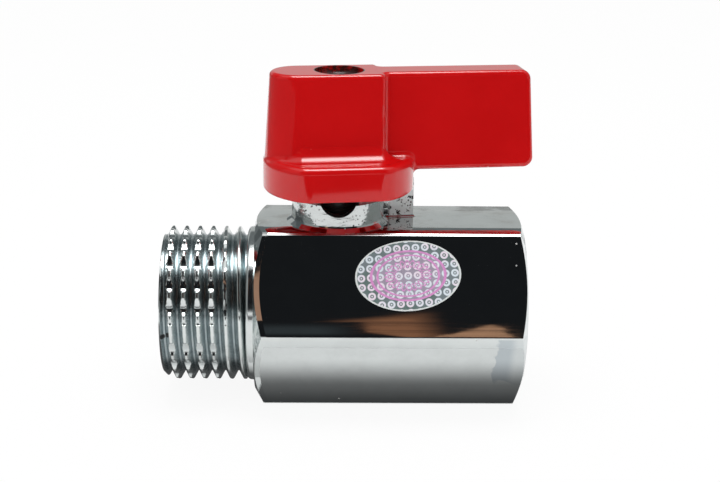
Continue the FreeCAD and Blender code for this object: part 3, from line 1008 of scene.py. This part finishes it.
def make_camera():
    """The camera of the photograph."""
    azimuth = math.radians(CAMERA_AZIMUTH)
    elevation = math.radians(CAMERA_ELEVATION)
    roll = math.radians(CAMERA_ROLL)
    back = Vector((math.sin(azimuth) * math.cos(elevation),
                   -math.cos(azimuth) * math.cos(elevation),
                   math.sin(elevation)))
    right = Vector((math.cos(azimuth), math.sin(azimuth), 0))
    up = back.cross(right)
    right_rolled = math.cos(roll) * right + math.sin(roll) * up
    up_rolled = math.cos(roll) * up - math.sin(roll) * right
    camera = bpy.data.cameras.new("camera")
    camera.sensor_fit = "HORIZONTAL"
    camera.sensor_width = SENSOR_WIDTH
    camera.lens = FOCAL_PIXELS * SENSOR_WIDTH / IMAGE_WIDTH
    camera.clip_start = CAMERA_NEAR * MM
    made = bpy.data.objects.new("camera", camera)
    scene.collection.objects.link(made)
    matrix = Matrix((right_rolled, up_rolled, back)).transposed().to_4x4()
    matrix.translation = (Vector(CAMERA_TARGET) + back * CAMERA_DISTANCE) * MM
    made.matrix_world = matrix
    scene.camera = made


def make_cards():
    """What the chrome and the gloss paint mirror of the studio."""
    wide = (-900, 900)
    card("overhead_card", level((-150, 150), (-140, 150), 420), WHITE, OVERHEAD_STRENGTH, soft_box)
    card("front_flag", facing(wide, (-520, 60), (-285, 800)), FLAG)
    card("front_floor_flag", level(wide, (-900, -110), 1), FLAG)
    card("back_reflector", facing(wide, (500, 20), (470, 260)), BACK_PALE)
    card("back_flag", facing(wide, (470, 260), (300, 700)), BACK_DARK)
    card("left_flag", beside(-500, (40, 480), (2, 560)), DIM)
    card("left_reflector", beside(-500, (-500, 40), (2, 560)), LEFT_PALE)
    card("left_floor_flag", level((-500, -130), (-500, 480), 1.5), DUSK)
    card("left_back_flag", facing((-900, -130), (490, 1), (490, 330)), DUSK)
    card("right_flag", beside(500, (-500, 480), (15, 560)), RIGHT_PALE)
    # Painted shadow of the valve on the floor, beside it and under the male end, that only
    # reflections show
    for side, way in (("front", -1), ("back", 1)):
        depth = (way * CONTACT_NEAR, way * (CONTACT_NEAR + CONTACT_WIDTH))
        card(side + "_contact", level((-11, 25.5), depth, CONTACT_Z), WHITE, fade=contact_shade)
    card("thread_contact", level((-60, -11.2), (-10, 60), CONTACT_Z), WHITE, fade=thread_shade)
    card("warm_patch", facing((-20, 60), (-380, 150), (-380, 338)), SKIN, fade=soft_tongue)
    wedge = ((42, 150), (74, 150), (72, 189), (73.4, 212), (70, 239), (67, 233), (51, 175))
    card("warm_wedge", [(x, -375, z) for x, z in wedge], SKIN_BRIGHT, fade=folds)
    card("dim_band", facing((-40, 16), (-378, 150), (-378, 250)), BAND_TONE, fade=dim_band)
    card("warm_left", facing((-232, -178), (-330, 190), (-330, 480)), SKIN_SIDE)


def dress(piece, material):
    """Give a piece one material."""
    piece.data.materials.clear()
    piece.data.materials.append(material)


scene.view_settings.view_transform = "Standard"
make_camera()
make_world()
make_floor()
# The light from above, and what the top flat throws back up under the lever
area_light("overhead_softbox", place=(0, 10, 420), aim=(0, 0, 20), size=(240, 190), power=0.7)
bounce = area_light("top_flat_bounce", place=(0, -8.6, 23.6), aim=(0, -7.4, 30), size=(22, 2.5),
                    power=0.0001)
bounce.visible_camera = False
make_cards()

red = paint()
ptfe = soft_plastic("waxy_white_plastic", PTFE, PTFE_SHADE, grain_scale=1400, rough=(0.35, 0.5))
rubber = soft_plastic("black_rubber", RUBBER, RUBBER_SHADE, grain_scale=2200, rough=(0.5, 0.7))
finishes = {
    "body": body_chrome(),
    "ball": chrome("ball_chrome", worn=0.96, waves=0.01),
    "seat_inlet": ptfe,
    "seat_outlet": ptfe,
    "stem_washer": ptfe,
    "stem": turned_metal("brass_with_painted_shade", BRASS, BRASS_DARK, line_scale=700, rough=(0.2, 0.4),
                          shaded_above_body=True),
    "stem_o_ring_lower": rubber,
    "stem_o_ring_upper": rubber,
    "handle": red,
    "handle_screw": turned_metal("zinc_steel", ZINC, ZINC_DARK, line_scale=600, rough=(0.2, 0.38)),
    "label": foil(),
}
for name, material in finishes.items():
    dress(nodes[name], material)

nipple = make_nipple()
dress(nipple, thread_chrome())
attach(nipple, "valve_body")
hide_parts("end_nipple")

for name, side in (("boss_sweep_front", 1), ("boss_sweep_back", -1)):
    sweep = make_boss_sweep(name, side)
    dress(sweep, red)
    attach(sweep, "lever_and_stem")

neck_foot = make_neck_foot()
dress(neck_foot, chrome("neck_foot_chrome", worn=0.85, waves=0.08))
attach(neck_foot, "valve_body")

bpy.context.view_layer.update()
